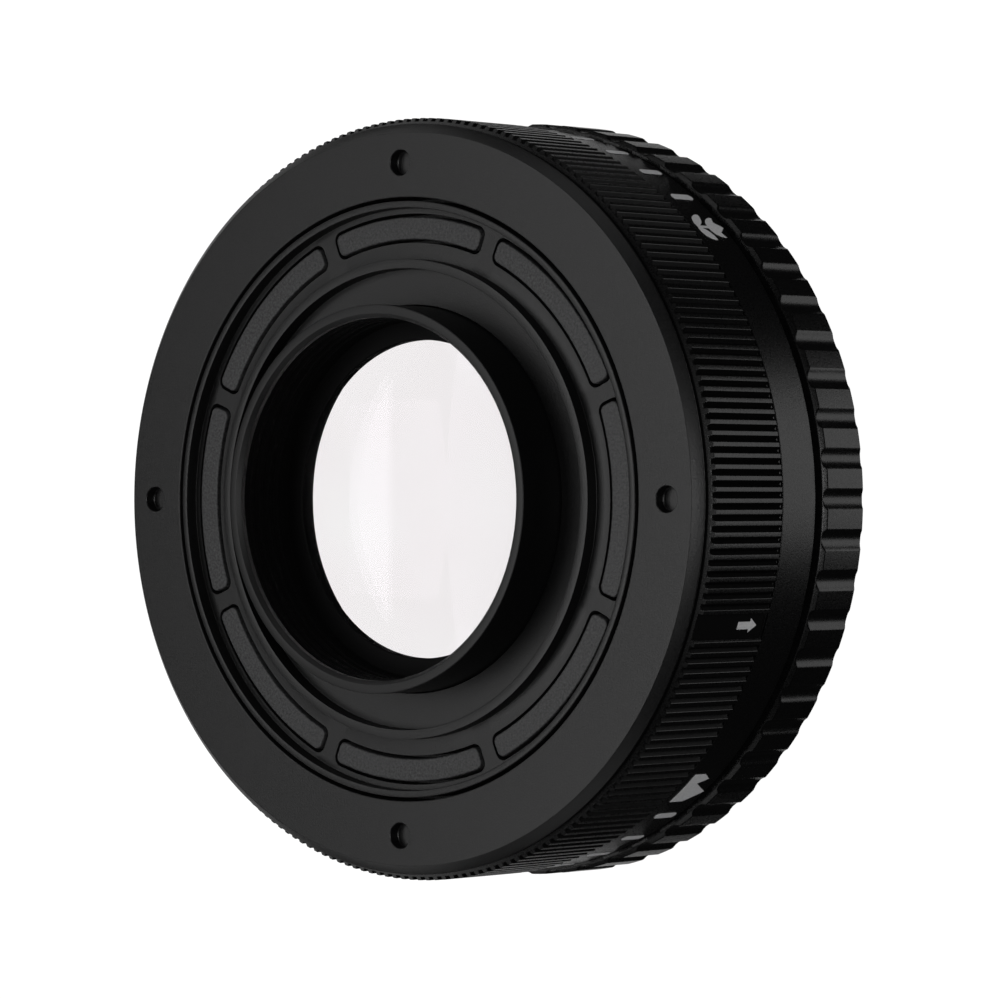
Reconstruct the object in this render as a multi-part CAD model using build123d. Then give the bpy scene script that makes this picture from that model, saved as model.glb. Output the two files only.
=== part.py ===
from build123d import *
import math
import os

# Focusing close-up lens for an action camera, standing on its front rim.
# Z runs along the optical axis, from the front rim at 0 up to the camera side.
# Angles run anticlockwise about Z, seen from the camera side. All sizes are in millimetres.

# Fits and clearances
running_gap = 0.08
seat_gap = 0.03
end_gap = 0.12
free_gap = 0.20
lift_gap = 0.40
press_gap = 0.01
overshoot = 1.0
edge_break = 0.12

# Scalloped grip ring
grip_proud = 0.26
grip_length = 4.87
grip_wall = 2.57
grip_rear_chamfer = 0.30
grip_front_chamfer_r = 0.57
grip_front_chamfer_z = 0.45
grip_lip_width = 1.10
grip_lip_t = 0.95
flute_count = 60
flute_depth = 0.27
flute_r = 1.04

# Knurled outer barrel
knurl_r = 26.74
knurl_length = 7.74
knurl_count = 220
knurl_phase = 0.58
knurl_depth = 0.26
knurl_top_share = 0.35
barrel_rear_chamfer_r = 0.49
barrel_rear_chamfer_z = 0.30
barrel_wall = 1.83
carrier_seat_width = 0.55
rib_height = 0.90
rib_length = 2.70
rim_length = 0.19

# Index arrow on its flat patch
index_angle = -18.9
patch_width = 1.88
patch_depth = 0.29
arrow_from_rim = 0.76
arrow_length = 2.10
arrow_shaft_width = 0.54
arrow_head_width = 1.02
arrow_head_length = 0.77
paint_t = 0.04

# Focus barrel with the smooth scale band
band_inset = 0.19
band_length = 3.77
neck_step = 1.10
neck_length = 0.54
sleeve_wall = 1.54
retainer_thread_depth = 0.62
spigot_wall = 1.45
front_ring_thread_step = 1.35
front_lens_step = 0.80
hood_step = 1.20
hood_length = 1.33

# Focus retainer and its stop
retainer_t = 1.40
stop_step = 0.60
stop_pin_r = 0.55
stop_pin_angle = 120.0
stop_pin_depth = 0.70
stop_play_deg = 0.4
lead_per_turn = 3.00

# Rear lock ring with its spanner holes
lock_inset = 0.44
lock_chamfer = 0.63
lock_side = 0.12
lock_groove = 0.32
lock_ring_width = 3.49
spanner_hole_inset = 1.06
spanner_hole_r = 0.91
spanner_hole_depth = 0.85
spanner_hole_count = 4

# Magnet carrier, a channel ring round the lens tube
carrier_side_gap = 0.25
carrier_lip = 0.47
carrier_flange_t = 1.00
channel_depth = 0.98
channel_width = 3.61
inner_lip = 0.65
recess_width = 2.52
recess_depth = 1.12

# Magnets
magnet_count = 8
magnet_from_lip = 0.61
magnet_width = 1.60
magnet_half_angle = 20.1
magnet_corner = 0.55
magnet_t = 2.00
magnet_proud = 0.13
magnet_moat = 0.20

# Sliding lens tube
tube_wall = 0.89
tube_proud = 2.90
rim_land = 0.49
rim_chamfer_z = 0.30
baffle_ridges = 4
ridge_pitch = 0.95
ridge_width = 0.37
ridge_depth = 0.29
first_ridge_drop = 1.20
helicoid_length = 2.50
front_cell_step = 0.95
front_cell_wall = 0.80
front_cell_skirt = 0.60
cell_shoulder_lip = 0.36
cell_shoulder_t = 0.50

# Guide pins that keep the tube from turning
guide_pin_count = 3
guide_pin_out = 2.05
guide_pin_r = 0.70
guide_pin_phase = 30.0
guide_pin_cover = 0.98

# Rear glass and its threaded ring
rear_lip_rise = 2.34
rear_ring_t = 0.76
rear_ring_lip = 1.46
rear_ring_bevel = 0.30
rear_lens_edge = 1.90
rear_lens_curve = 100.0

# Inner glass and its threaded ring
inner_lens_edge = 1.50
inner_lens_curve = 60.0
inner_ring_t = 0.90
inner_ring_lip = 0.60

# Light baffle
baffle_hole_gap = 0.70
baffle_t = 0.50
baffle_rise = 0.40

# Front glass and its threaded ring
front_lens_edge = 2.20
front_lens_front_curve = 75.0
front_lens_rear_curve = 110.0
front_ring_t = 1.20
front_ring_lip = 2.05
front_ring_bevel = 0.50
slot_width = 1.20
slot_depth = 0.45

# Focus scale, a flower at the near end and mountains at the far end
tick_count = 36
tick_width = 0.60
tick_length = 2.30
marks_from_edge = 1.63
flower_angle = 45.2
flower_width = 2.60
flower_height = 2.94
mountain_angle = -49.1
mountain_width = 3.00
mountain_height = 2.87

# Motion that follows: the near mark ends at the arrow
turn_range = 360 + index_angle - flower_angle
focus_travel = lead_per_turn * turn_range / 360

# Heights that follow, from the front rim up
grip_rear_z = grip_length
band_front_z = grip_rear_z + neck_length
band_rear_z = band_front_z + band_length
barrel_front_z = band_rear_z + end_gap
knurl_front_z = barrel_front_z + rim_length
barrel_rear_z = knurl_front_z + knurl_length
lock_under_z = barrel_rear_z + lock_groove
rear_face_z = lock_under_z + lock_side + lock_chamfer
tube_top_z = rear_face_z + tube_proud
rib_top_z = barrel_front_z + rib_length
retainer_z = rib_top_z + end_gap
retainer_top_z = retainer_z + retainer_t
carrier_seat_z = retainer_top_z + lift_gap
magnet_floor_z = rear_face_z - channel_depth + magnet_proud - magnet_t
flange_top_z = carrier_seat_z - free_gap
flange_bottom_z = flange_top_z - helicoid_length
guide_pin_bottom_z = flange_bottom_z - focus_travel + end_gap
guide_pin_top_z = rear_face_z - recess_depth - guide_pin_cover
baffle_seat_z = flange_bottom_z - focus_travel - lift_gap - baffle_rise - baffle_t
baffle_top_z = baffle_seat_z + baffle_t

# Heights of the glasses that follow, from the flange of the lens tube
rear_lip_z = flange_top_z + rear_lip_rise
rear_lens_top_z = rear_lip_z - rear_ring_t
cell_shoulder_top_z = rear_lens_top_z - rear_lens_edge
cell_shoulder_z = cell_shoulder_top_z - cell_shoulder_t
inner_ring_top_z = cell_shoulder_z - inner_lens_edge
inner_ring_z = inner_ring_top_z - inner_ring_t
front_cell_z = inner_ring_z - front_cell_skirt
front_lens_seat_z = baffle_seat_z - hood_length
front_ring_top_z = front_lens_seat_z - front_lens_edge
front_ring_z = front_ring_top_z - front_ring_t
spigot_front_z = grip_lip_t + seat_gap

# Radii that follow, from the outside in
lock_thread_r = knurl_r - knurl_depth - barrel_wall
retainer_bay_r = lock_thread_r - carrier_seat_width
sleeve_bore_r = retainer_bay_r - rib_height
sleeve_r = sleeve_bore_r - running_gap
helicoid_bore_r = sleeve_r - sleeve_wall
helicoid_r = helicoid_bore_r - running_gap
retainer_thread_r = sleeve_r - retainer_thread_depth
retainer_r = retainer_bay_r - free_gap
stop_pin_circle_r = (retainer_thread_r + retainer_r) / 2
band_r = knurl_r - band_inset
lock_r = knurl_r - lock_inset
lock_spigot_r = lock_thread_r - seat_gap
lock_bore_r = lock_spigot_r - lock_ring_width
spanner_hole_circle_r = lock_spigot_r - spanner_hole_inset
carrier_r = lock_bore_r - carrier_side_gap
channel_r = carrier_r - carrier_lip
inner_lip_r = channel_r - channel_width
carrier_bore_r = inner_lip_r - inner_lip - recess_width
magnet_outer_r = channel_r - magnet_from_lip
magnet_inner_r = magnet_outer_r - magnet_width
grip_r = knurl_r + grip_proud
spigot_r = grip_r - grip_wall - seat_gap
neck_r = spigot_r + neck_step
filter_thread_r = spigot_r - spigot_wall
front_ring_thread_r = filter_thread_r - front_ring_thread_step
front_ring_hole_r = front_ring_thread_r - front_ring_lip
front_lens_bore_r = front_ring_thread_r - front_lens_step
hood_r = front_lens_bore_r - hood_step

# Radii of the lens cell that follow, from the bore of the carrier
tube_r = carrier_bore_r - running_gap
tube_bore_r = tube_r - tube_wall
rear_ring_hole_r = tube_bore_r - rear_ring_lip
front_cell_r = tube_r + front_cell_step
front_cell_bore_r = front_cell_r - front_cell_wall
inner_ring_hole_r = front_cell_bore_r - inner_ring_lip
baffle_hole_r = front_cell_r + baffle_hole_gap
baffle_cone_r = hood_r - free_gap
guide_pin_circle_r = tube_r + guide_pin_out


def polar(radius, angle):
    turn = math.radians(angle)
    return radius * math.cos(turn), radius * math.sin(turn)


def around(count, first=0.0):
    return [first + k * 360 / count for k in range(count)]


def turned(*points):
    """Solid turned about Z from its outline of (radius, height) points."""
    outline = make_face(Polyline(*points, close=True))
    return revolve(Plane.XZ * outline, Axis.Z)


def ring(inner_r, outer_r, low_z, high_z):
    return turned((inner_r, low_z), (outer_r, low_z), (outer_r, high_z), (inner_r, high_z))


def rod(radius, low_z, high_z, circle_r, angle):
    """Upright round bar on a circle about the axis."""
    return Pos(*polar(circle_r, angle), low_z) * extrude(Circle(radius), high_z - low_z)


def sag(curve_r, at_r):
    return curve_r - math.sqrt(curve_r**2 - at_r**2)


def lens_face(clear_r, edge_z, curve_r, way):
    """Half outline of a round glass face: way is 1 where its middle is higher, -1 where it is lower."""
    apex_z = edge_z + way * sag(curve_r, clear_r)
    middle_z = apex_z - way * sag(curve_r, clear_r / 2)
    return ThreePointArc((0, apex_z), (clear_r / 2, middle_z), (clear_r, edge_z))


def annular_sector(inner_r, outer_r, half_angle):
    """Flat piece of a ring, centred on +X."""
    outline = [
        ThreePointArc(polar(outer_r, -half_angle), (outer_r, 0), polar(outer_r, half_angle)),
        Line(polar(outer_r, half_angle), polar(inner_r, half_angle)),
        ThreePointArc(polar(inner_r, half_angle), (inner_r, 0), polar(inner_r, -half_angle)),
        Line(polar(inner_r, -half_angle), polar(outer_r, -half_angle)),
    ]
    return make_face(Curve() + outline)


def skin_plane(angle, radius, z):
    """Plane on the outside of the barrel: its Y runs towards the front rim."""
    out = Vector(*polar(1, angle), 0)
    clockwise = Vector(*polar(1, angle - 90), 0)
    return Plane(origin=out * radius + Vector(0, 0, z), x_dir=clockwise, z_dir=out)


def painted(sketch, angle):
    """Thin paint in the shape of the sketch, wrapped on the scale band."""
    marks_z = band_front_z + marks_from_edge
    stamp = extrude(skin_plane(angle, band_r - overshoot, marks_z) * sketch, 2 * overshoot)
    return stamp & ring(band_r + press_gap, band_r + press_gap + paint_t, band_front_z, band_rear_z)


def spanner_slots(inner_r, outer_r, face_z):
    """Two slots across a threaded ring, to be cut from its face."""
    length = outer_r - inner_r + 2 * overshoot
    slot = Pos((inner_r + outer_r) / 2, 0, face_z) * Box(length, slot_width, 2 * slot_depth)
    return slot + Rot(0, 0, 180) * slot


def knurled_barrel():
    core_r = knurl_r - knurl_depth
    pitch = 360 / knurl_count
    half_top = pitch * knurl_top_share / 2
    points = []
    for valley in around(knurl_count, knurl_phase):
        top = valley + pitch / 2
        points += [polar(core_r, valley), polar(knurl_r, top - half_top), polar(knurl_r, top + half_top)]
    ridges = extrude(make_face(Polyline(*points, close=True)), knurl_length)
    outer_r = knurl_r + overshoot
    chamfer_slope = barrel_rear_chamfer_z / barrel_rear_chamfer_r
    chamfer_foot_z = barrel_rear_z - chamfer_slope * (barrel_rear_chamfer_r + overshoot)
    envelope = turned(
        (retainer_bay_r, knurl_front_z),
        (outer_r, knurl_front_z),
        (outer_r, chamfer_foot_z),
        (knurl_r - barrel_rear_chamfer_r, barrel_rear_z),
        (lock_thread_r, barrel_rear_z),
        (lock_thread_r, carrier_seat_z),
        (retainer_bay_r, carrier_seat_z),
    )
    patch = skin_plane(index_angle, knurl_r - patch_depth, knurl_front_z + knurl_length / 2)
    body = Pos(0, 0, knurl_front_z) * ridges & envelope
    body -= extrude(patch * Rectangle(patch_width, knurl_length), overshoot)
    return body + turned(
        (sleeve_bore_r, barrel_front_z),
        (band_r, barrel_front_z),
        (band_r, knurl_front_z),
        (retainer_bay_r + overshoot, knurl_front_z),
        (retainer_bay_r, rib_top_z),
        (sleeve_bore_r, rib_top_z),
    )


def index_arrow():
    shaft, head = arrow_shaft_width / 2, arrow_head_width / 2
    neck = arrow_length - arrow_head_length
    outline = Polyline(
        (-shaft, 0), (shaft, 0), (shaft, neck), (head, neck), (0, arrow_length), (-head, neck), (-shaft, neck),
        close=True,
    )
    floor_r = knurl_r - patch_depth + press_gap
    start_z = knurl_front_z + arrow_from_rim + arrow_length
    return extrude(skin_plane(index_angle, floor_r, start_z) * make_face(outline), paint_t)


def rear_lock_ring():
    spigot_z = carrier_seat_z + carrier_flange_t
    body = turned(
        (lock_bore_r, spigot_z),
        (lock_spigot_r, spigot_z),
        (lock_spigot_r, lock_under_z),
        (lock_r, lock_under_z),
        (lock_r, lock_under_z + lock_side),
        (lock_r - lock_chamfer, rear_face_z),
        (lock_bore_r + edge_break, rear_face_z),
        (lock_bore_r, rear_face_z - edge_break),
    )
    hole_z = rear_face_z - spanner_hole_depth
    for angle in around(spanner_hole_count):
        body -= rod(spanner_hole_r, hole_z, rear_face_z + overshoot, spanner_hole_circle_r, angle)
    return body


def magnet_block(gap):
    """A magnet in its place on +X, or its pocket where there is a gap round it."""
    middle_r = (magnet_inner_r + magnet_outer_r) / 2
    spread = magnet_half_angle + math.degrees(gap / middle_r)
    sector = annular_sector(magnet_inner_r - gap, magnet_outer_r + gap, spread)
    outline = fillet(sector.vertices(), magnet_corner)
    return Pos(0, 0, magnet_floor_z) * extrude(outline, magnet_t)


def magnet_carrier():
    body = turned(
        (carrier_bore_r, carrier_seat_z),
        (lock_spigot_r, carrier_seat_z),
        (lock_spigot_r, carrier_seat_z + carrier_flange_t),
        (carrier_r, carrier_seat_z + carrier_flange_t),
        (carrier_r, rear_face_z - edge_break),
        (carrier_r - edge_break, rear_face_z),
        (channel_r, rear_face_z),
        (channel_r, rear_face_z - channel_depth),
        (inner_lip_r, rear_face_z - channel_depth),
        (inner_lip_r, rear_face_z),
        (inner_lip_r - inner_lip, rear_face_z),
        (inner_lip_r - inner_lip, rear_face_z - recess_depth),
        (carrier_bore_r, rear_face_z - recess_depth),
    )
    for angle in around(magnet_count):
        body -= Rot(0, 0, angle) * magnet_block(magnet_moat)
    low_z = carrier_seat_z - overshoot
    for angle in around(guide_pin_count, guide_pin_phase):
        hole_r = guide_pin_r + press_gap
        body -= rod(hole_r, low_z, guide_pin_top_z + press_gap, guide_pin_circle_r, angle)
    hole_r, hole_top_z = stop_pin_r + press_gap, carrier_seat_z + stop_pin_depth + press_gap
    return body - rod(hole_r, low_z, hole_top_z, stop_pin_circle_r, stop_pin_angle)


def mount_magnet(angle):
    return Rot(0, 0, angle) * magnet_block(0)


def guide_pin(angle):
    return rod(guide_pin_r, guide_pin_bottom_z, guide_pin_top_z, guide_pin_circle_r, angle)


def stop_pin():
    low_z = retainer_top_z - stop_step + end_gap
    return rod(stop_pin_r, low_z, carrier_seat_z + stop_pin_depth, stop_pin_circle_r, stop_pin_angle)


def lens_tube():
    root_r = tube_bore_r + ridge_depth
    rim_inner_z = tube_top_z - rim_chamfer_z
    bore = [(tube_r - rim_land, tube_top_z), (tube_bore_r, rim_inner_z)]
    bore += [(tube_bore_r, rim_inner_z - ridge_width), (root_r, rim_inner_z - ridge_width)]
    for k in range(baffle_ridges):
        crest_z = tube_top_z - first_ridge_drop - k * ridge_pitch
        low_z = crest_z - ridge_width
        bore += [(root_r, crest_z), (tube_bore_r, crest_z), (tube_bore_r, low_z), (root_r, low_z)]
    # Below the last ridge the bore is smooth
    bore.pop()
    body = turned(
        *bore,
        (tube_bore_r, cell_shoulder_top_z),
        (tube_bore_r - cell_shoulder_lip, cell_shoulder_top_z),
        (tube_bore_r - cell_shoulder_lip, cell_shoulder_z),
        (front_cell_bore_r, cell_shoulder_z),
        (front_cell_bore_r, front_cell_z),
        (front_cell_r, front_cell_z),
        (front_cell_r, flange_bottom_z),
        (helicoid_r, flange_bottom_z),
        (helicoid_r, flange_top_z),
        (tube_r, flange_top_z),
        (tube_r, tube_top_z - edge_break),
        (tube_r - edge_break, tube_top_z),
    )
    hole_r = guide_pin_r + running_gap
    low_z, high_z = flange_bottom_z - overshoot, flange_top_z + overshoot
    for angle in around(guide_pin_count, guide_pin_phase):
        body -= rod(hole_r, low_z, high_z, guide_pin_circle_r, angle)
    return body


def rear_lens():
    outer_r = tube_bore_r - seat_gap
    low_z = cell_shoulder_top_z
    face = lens_face(rear_ring_hole_r, rear_lens_top_z - press_gap, rear_lens_curve, 1)
    edge = Polyline(face @ 1, (outer_r, rear_lens_top_z - press_gap), (outer_r, low_z), (0, low_z), face @ 0)
    return revolve(Plane.XZ * make_face(Curve() + [face, edge]), Axis.Z)


def rear_lens_ring():
    outer_r = tube_bore_r - seat_gap
    body = turned(
        (rear_ring_hole_r, rear_lens_top_z),
        (outer_r, rear_lens_top_z),
        (outer_r, rear_lip_z),
        (rear_ring_hole_r + rear_ring_bevel, rear_lip_z),
        (rear_ring_hole_r, rear_lip_z - rear_ring_bevel),
    )
    return body


def inner_lens():
    outer_r = front_cell_bore_r - seat_gap
    edge_z = inner_ring_top_z + press_gap
    face = lens_face(inner_ring_hole_r, edge_z, inner_lens_curve, -1)
    edge = Polyline(face @ 1, (outer_r, edge_z), (outer_r, cell_shoulder_z), (0, cell_shoulder_z), face @ 0)
    return revolve(Plane.XZ * make_face(Curve() + [face, edge]), Axis.Z)


def inner_lens_ring():
    outer_r = front_cell_bore_r - seat_gap
    body = ring(inner_ring_hole_r, outer_r, inner_ring_z, inner_ring_top_z)
    return body - Rot(0, 0, 90) * spanner_slots(inner_ring_hole_r, outer_r, inner_ring_z)


def focus_barrel():
    return turned(
        (filter_thread_r, spigot_front_z),
        (spigot_r, spigot_front_z),
        (spigot_r, grip_rear_z),
        (neck_r, grip_rear_z),
        (neck_r, band_front_z),
        (band_r, band_front_z),
        (band_r, band_rear_z),
        (sleeve_r, band_rear_z),
        (sleeve_r, retainer_z),
        (retainer_thread_r, retainer_z),
        (retainer_thread_r, retainer_top_z),
        (helicoid_bore_r, retainer_top_z),
        (helicoid_bore_r, baffle_seat_z),
        (hood_r, baffle_seat_z),
        (hood_r, front_lens_seat_z),
        (front_lens_bore_r, front_lens_seat_z),
        (front_lens_bore_r, front_ring_top_z),
        (front_ring_thread_r, front_ring_top_z),
        (front_ring_thread_r, front_ring_z),
        (filter_thread_r, front_ring_z),
    )


def focus_grip():
    pitch = 360 / flute_count
    centre_r = grip_r - flute_depth + flute_r
    # Half angle at which the round flute meets the outer cylinder
    meet = math.degrees(math.acos((grip_r**2 + centre_r**2 - flute_r**2) / (2 * grip_r * centre_r)))
    outline = []
    for angle in around(flute_count):
        start, end = polar(grip_r, angle - meet), polar(grip_r, angle + meet)
        next_start = polar(grip_r, angle + pitch - meet)
        outline.append(ThreePointArc(start, polar(grip_r - flute_depth, angle), end))
        outline.append(ThreePointArc(end, polar(grip_r, angle + pitch / 2), next_start))
    fluted = extrude(make_face(Curve() + outline), grip_length)
    outer_r = grip_r + overshoot
    front_slope = grip_front_chamfer_z / grip_front_chamfer_r
    bore_r = grip_r - grip_wall
    envelope = turned(
        (bore_r - grip_lip_width, 0),
        (grip_r - grip_front_chamfer_r, 0),
        (outer_r, grip_front_chamfer_z + front_slope * overshoot),
        (outer_r, grip_rear_z - grip_rear_chamfer - overshoot),
        (grip_r - grip_rear_chamfer, grip_rear_z),
        (bore_r, grip_rear_z),
        (bore_r, grip_lip_t),
        (bore_r - grip_lip_width, grip_lip_t),
    )
    return fluted & envelope


def focus_retainer():
    inner_r = retainer_thread_r + seat_gap
    body = ring(inner_r, retainer_r, retainer_z, retainer_top_z)
    pin_half = math.degrees(math.asin(stop_pin_r / stop_pin_circle_r))
    lug = 360 - turn_range - 2 * (pin_half + stop_play_deg)
    lug_middle = stop_pin_angle + pin_half + stop_play_deg + lug / 2
    # The stop pin runs in a step that goes all round but for the lug
    step_z = retainer_top_z - stop_step
    step = ring(inner_r - overshoot, retainer_r + overshoot, step_z, retainer_top_z + overshoot)
    lug_sector = annular_sector(inner_r - 2 * overshoot, retainer_r + 2 * overshoot, lug / 2)
    return body - (step - Rot(0, 0, lug_middle) * extrude(lug_sector, tube_top_z))


def light_baffle():
    outer_r = helicoid_bore_r - seat_gap
    return turned(
        (baffle_hole_r, baffle_seat_z + baffle_rise),
        (baffle_cone_r, baffle_seat_z),
        (outer_r, baffle_seat_z),
        (outer_r, baffle_top_z),
        (baffle_cone_r, baffle_top_z),
        (baffle_hole_r, baffle_top_z + baffle_rise),
    )


def front_lens():
    outer_r = front_lens_bore_r - seat_gap
    top_z, edge_z = front_lens_seat_z, front_ring_top_z + press_gap
    front = lens_face(front_ring_hole_r, edge_z, front_lens_front_curve, -1)
    rear = lens_face(hood_r, top_z, front_lens_rear_curve, -1)
    rim = Polyline(front @ 1, (outer_r, edge_z), (outer_r, top_z), rear @ 1)
    return revolve(Plane.XZ * make_face(Curve() + [front, rim, rear, Line(rear @ 0, front @ 0)]), Axis.Z)


def front_lens_ring():
    outer_r = front_ring_thread_r - seat_gap
    body = turned(
        (front_ring_hole_r + front_ring_bevel, front_ring_z),
        (outer_r, front_ring_z),
        (outer_r, front_ring_top_z),
        (front_ring_hole_r, front_ring_top_z),
        (front_ring_hole_r, front_ring_z + front_ring_bevel),
    )
    return body - spanner_slots(front_ring_hole_r, outer_r, front_ring_z)


def scale_ticks():
    """Dashes spread evenly from the flower round to the mountains."""
    tick = SlotOverall(tick_length, tick_width, rotation=90)
    pitch = (360 + mountain_angle - flower_angle) / (tick_count + 1)
    ticks = []
    for k in range(1, tick_count + 1):
        ticks += painted(tick, flower_angle + k * pitch).solids()
    return Compound(children=ticks)


def mountain_mark():
    """Two peaks on a block, the common mark for the far end of a focus scale."""
    outline = Polyline(
        (-1, -1), (1, -1), (1, 0), (0.30, 1), (-0.35, -0.24), (-0.66, 0.40), (-1, -0.16), close=True
    )
    return painted(sized(make_face(outline), mountain_width, mountain_height), mountain_angle)


def flower_mark():
    """A flower head with two leaves, the common mark for the near end of a focus scale."""
    head = make_face(Curve() + [
        Polyline((-0.76, 0.66), (-0.40, 0.50), (0, 1), (0.40, 0.50), (0.76, 0.66)),
        ThreePointArc((0.76, 0.66), (0, -0.20), (-0.76, 0.66)),
    ])
    stem = Pos(0, -0.55) * Rectangle(0.16, 0.90)
    leaf = make_face(Curve() + [
        ThreePointArc((0, -1), (0.72, -0.86), (0.98, -0.20)),
        ThreePointArc((0.98, -0.20), (0.42, -0.38), (0, -1)),
    ])
    return painted(sized(head + stem + leaf + mirror(leaf, Plane.YZ), flower_width, flower_height), flower_angle)


def sized(sketch, width, height):
    """Sketch that was drawn from -1 to 1 both ways, brought to its size."""
    return scale(sketch, (width / 2, height / 2, 1))


def pieces():
    """Every separate piece by its name."""
    made = {
        "knurled_barrel": knurled_barrel(),
        "index_arrow": index_arrow(),
        "rear_lock_ring": rear_lock_ring(),
        "magnet_carrier": magnet_carrier(),
        "stop_pin": stop_pin(),
        "lens_tube": lens_tube(),
        "rear_lens": rear_lens(),
        "rear_lens_ring": rear_lens_ring(),
        "inner_lens": inner_lens(),
        "inner_lens_ring": inner_lens_ring(),
        "focus_barrel": focus_barrel(),
        "focus_grip": focus_grip(),
        "focus_retainer": focus_retainer(),
        "light_baffle": light_baffle(),
        "front_lens": front_lens(),
        "front_lens_ring": front_lens_ring(),
        "scale_ticks": scale_ticks(),
        "mountain_mark": mountain_mark(),
        "flower_mark": flower_mark(),
    }
    for number, angle in enumerate(around(magnet_count), 1):
        made[f"mount_magnet_{number}"] = mount_magnet(angle)
    for number, angle in enumerate(around(guide_pin_count, guide_pin_phase), 1):
        made[f"guide_pin_{number}"] = guide_pin(angle)
    return made


os.makedirs("parts", exist_ok=True)
for name, shape in pieces().items():
    export_step(shape, f"parts/{name}.step")
print(f"Height {tube_top_z:.3f}, rear face {rear_face_z:.3f}, seat {carrier_seat_z:.3f}")
print(f"Turn {turn_range:.2f} degrees, travel {focus_travel:.4f} mm")
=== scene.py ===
import math

import bmesh
import bpy
import numpy as np
from mathutils import Matrix, Vector


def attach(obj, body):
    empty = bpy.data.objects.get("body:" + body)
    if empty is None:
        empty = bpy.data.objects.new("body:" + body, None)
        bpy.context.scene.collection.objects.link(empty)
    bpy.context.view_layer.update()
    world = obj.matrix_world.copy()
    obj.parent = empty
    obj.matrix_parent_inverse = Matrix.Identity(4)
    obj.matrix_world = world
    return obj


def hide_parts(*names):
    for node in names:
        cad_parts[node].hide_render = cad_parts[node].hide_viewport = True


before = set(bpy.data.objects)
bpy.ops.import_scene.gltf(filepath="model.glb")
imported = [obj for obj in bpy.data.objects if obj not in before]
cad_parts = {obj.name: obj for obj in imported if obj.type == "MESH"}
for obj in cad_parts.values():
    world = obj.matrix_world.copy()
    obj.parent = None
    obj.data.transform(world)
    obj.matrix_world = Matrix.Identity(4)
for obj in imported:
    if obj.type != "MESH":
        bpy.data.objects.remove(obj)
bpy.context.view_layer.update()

# All lengths below are in millimetres, as in the model's source, and MM turns them into metres
MM = 0.001
SEGMENTS = 320
BROKEN_EDGE = 0.05

# Heights from the front rim, of the outer parts
GRIP_LIP_TOP = 0.95
GRIP_REAR = 4.87
BAND_FRONT = 5.41
BAND_REAR = 9.18
BARREL_FRONT = 9.30
KNURL_FRONT = 9.49
RIB_TOP = 12.00
CARRIER_SEAT = 13.92
LOCK_SEAT = 14.92
MAGNET_FLOOR = 15.45
RECESS_FLOOR = 17.18
BARREL_REAR = 17.23
CHANNEL_FLOOR = 17.32
MAGNET_TOP = 17.45
LOCK_UNDER = 17.55
REAR_FACE = 18.30

# Heights of the inner parts
SPIGOT_FRONT = 0.98
FRONT_RING_FRONT = 2.724
FRONT_RING_REAR = 3.924
FRONT_LENS_SEAT = 6.124
BAFFLE_SEAT = 7.454
FRONT_CELL = 9.90
INNER_RING_FRONT = 10.50
FLANGE_FRONT = 11.22
INNER_RING_REAR = 11.40
RETAINER_FRONT = 12.12
CELL_SHOULDER_FRONT = 12.90
CELL_SHOULDER_REAR = 13.40
RETAINER_REAR = 13.52
FLANGE_REAR = 13.72
REAR_RING_FRONT = 15.30
REAR_RING_REAR = 16.06
TUBE_TOP = 21.20

# Radii of the outer parts
GRIP_R = 27.00
GRIP_BORE_R = 24.43
GRIP_HOLE_R = 23.33
KNURL_R = 26.74
KNURL_CORE_R = 26.48
BARREL_BORE_R = 24.65
RETAINER_BAY_R = 24.10
SLEEVE_BORE_R = 23.20
LOCK_R = 26.30
LOCK_SPIGOT_R = 24.62
LOCK_BORE_R = 21.13
CARRIER_R = 20.88
CHANNEL_R = 20.41
CHANNEL_INNER_R = 16.80
RECESS_R = 16.15
CARRIER_BORE_R = 13.63

# Radii of the inner parts
BAND_R = 26.55
NECK_R = 25.50
SPIGOT_R = 24.40
SLEEVE_R = 23.12
FILTER_THREAD_R = 22.95
RETAINER_THREAD_R = 22.50
FRONT_RING_THREAD_R = 21.60
HELICOID_BORE_R = 21.58
FRONT_RING_R = 21.57
HELICOID_R = 21.50
FRONT_LENS_BORE_R = 20.80
FRONT_LENS_R = 20.77
FRONT_RING_MOUTH_R = 20.05
HOOD_R = 19.60
FRONT_RING_HOLE_R = 19.55
FRONT_CELL_R = 14.50
FRONT_CELL_BORE_R = 13.70
INNER_LENS_R = 13.67
TUBE_R = 13.55
INNER_RING_HOLE_R = 13.10
TUBE_BORE_R = 12.95
BAFFLE_RIDGE_R = 12.66
REAR_LENS_R = 12.63
CELL_HOLE_R = 12.30
REAR_RING_HOLE_R = 11.20

# Knurl, flat patch for the arrow, and flutes of the grip ring
KNURL_COUNT = 220
KNURL_PHASE = 0.58
INDEX_ANGLE = -18.9
PATCH_R = 26.45
PATCH_HALF = 2.02
FLUTE_COUNT = 60
FLUTE_DEPTH = 0.27
FLUTE_R = 1.04

# Spanner holes, magnets with their pockets, guide pin holes and baffle ridges
SPANNER_HOLE_R = 0.91
SPANNER_HOLE_DEPTH = 0.85
SPANNER_CIRCLE_R = 23.56
MAGNET_COUNT = 8
MAGNET_INNER_R = 18.20
MAGNET_OUTER_R = 19.80
MAGNET_HALF = 20.1
MAGNET_CORNER = 0.50
POCKET_INNER_R = 18.00
POCKET_OUTER_R = 20.00
POCKET_HALF = 20.7
POCKET_CORNER = 0.62
PIN_HOLE_COUNT = 3
PIN_HOLE_R = 0.78
PIN_CIRCLE_R = 15.60
RIDGE_COUNT = 4
RIDGE_PITCH = 0.95
RIDGE_WIDTH = 0.37
FIRST_RIDGE = 20.00

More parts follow.
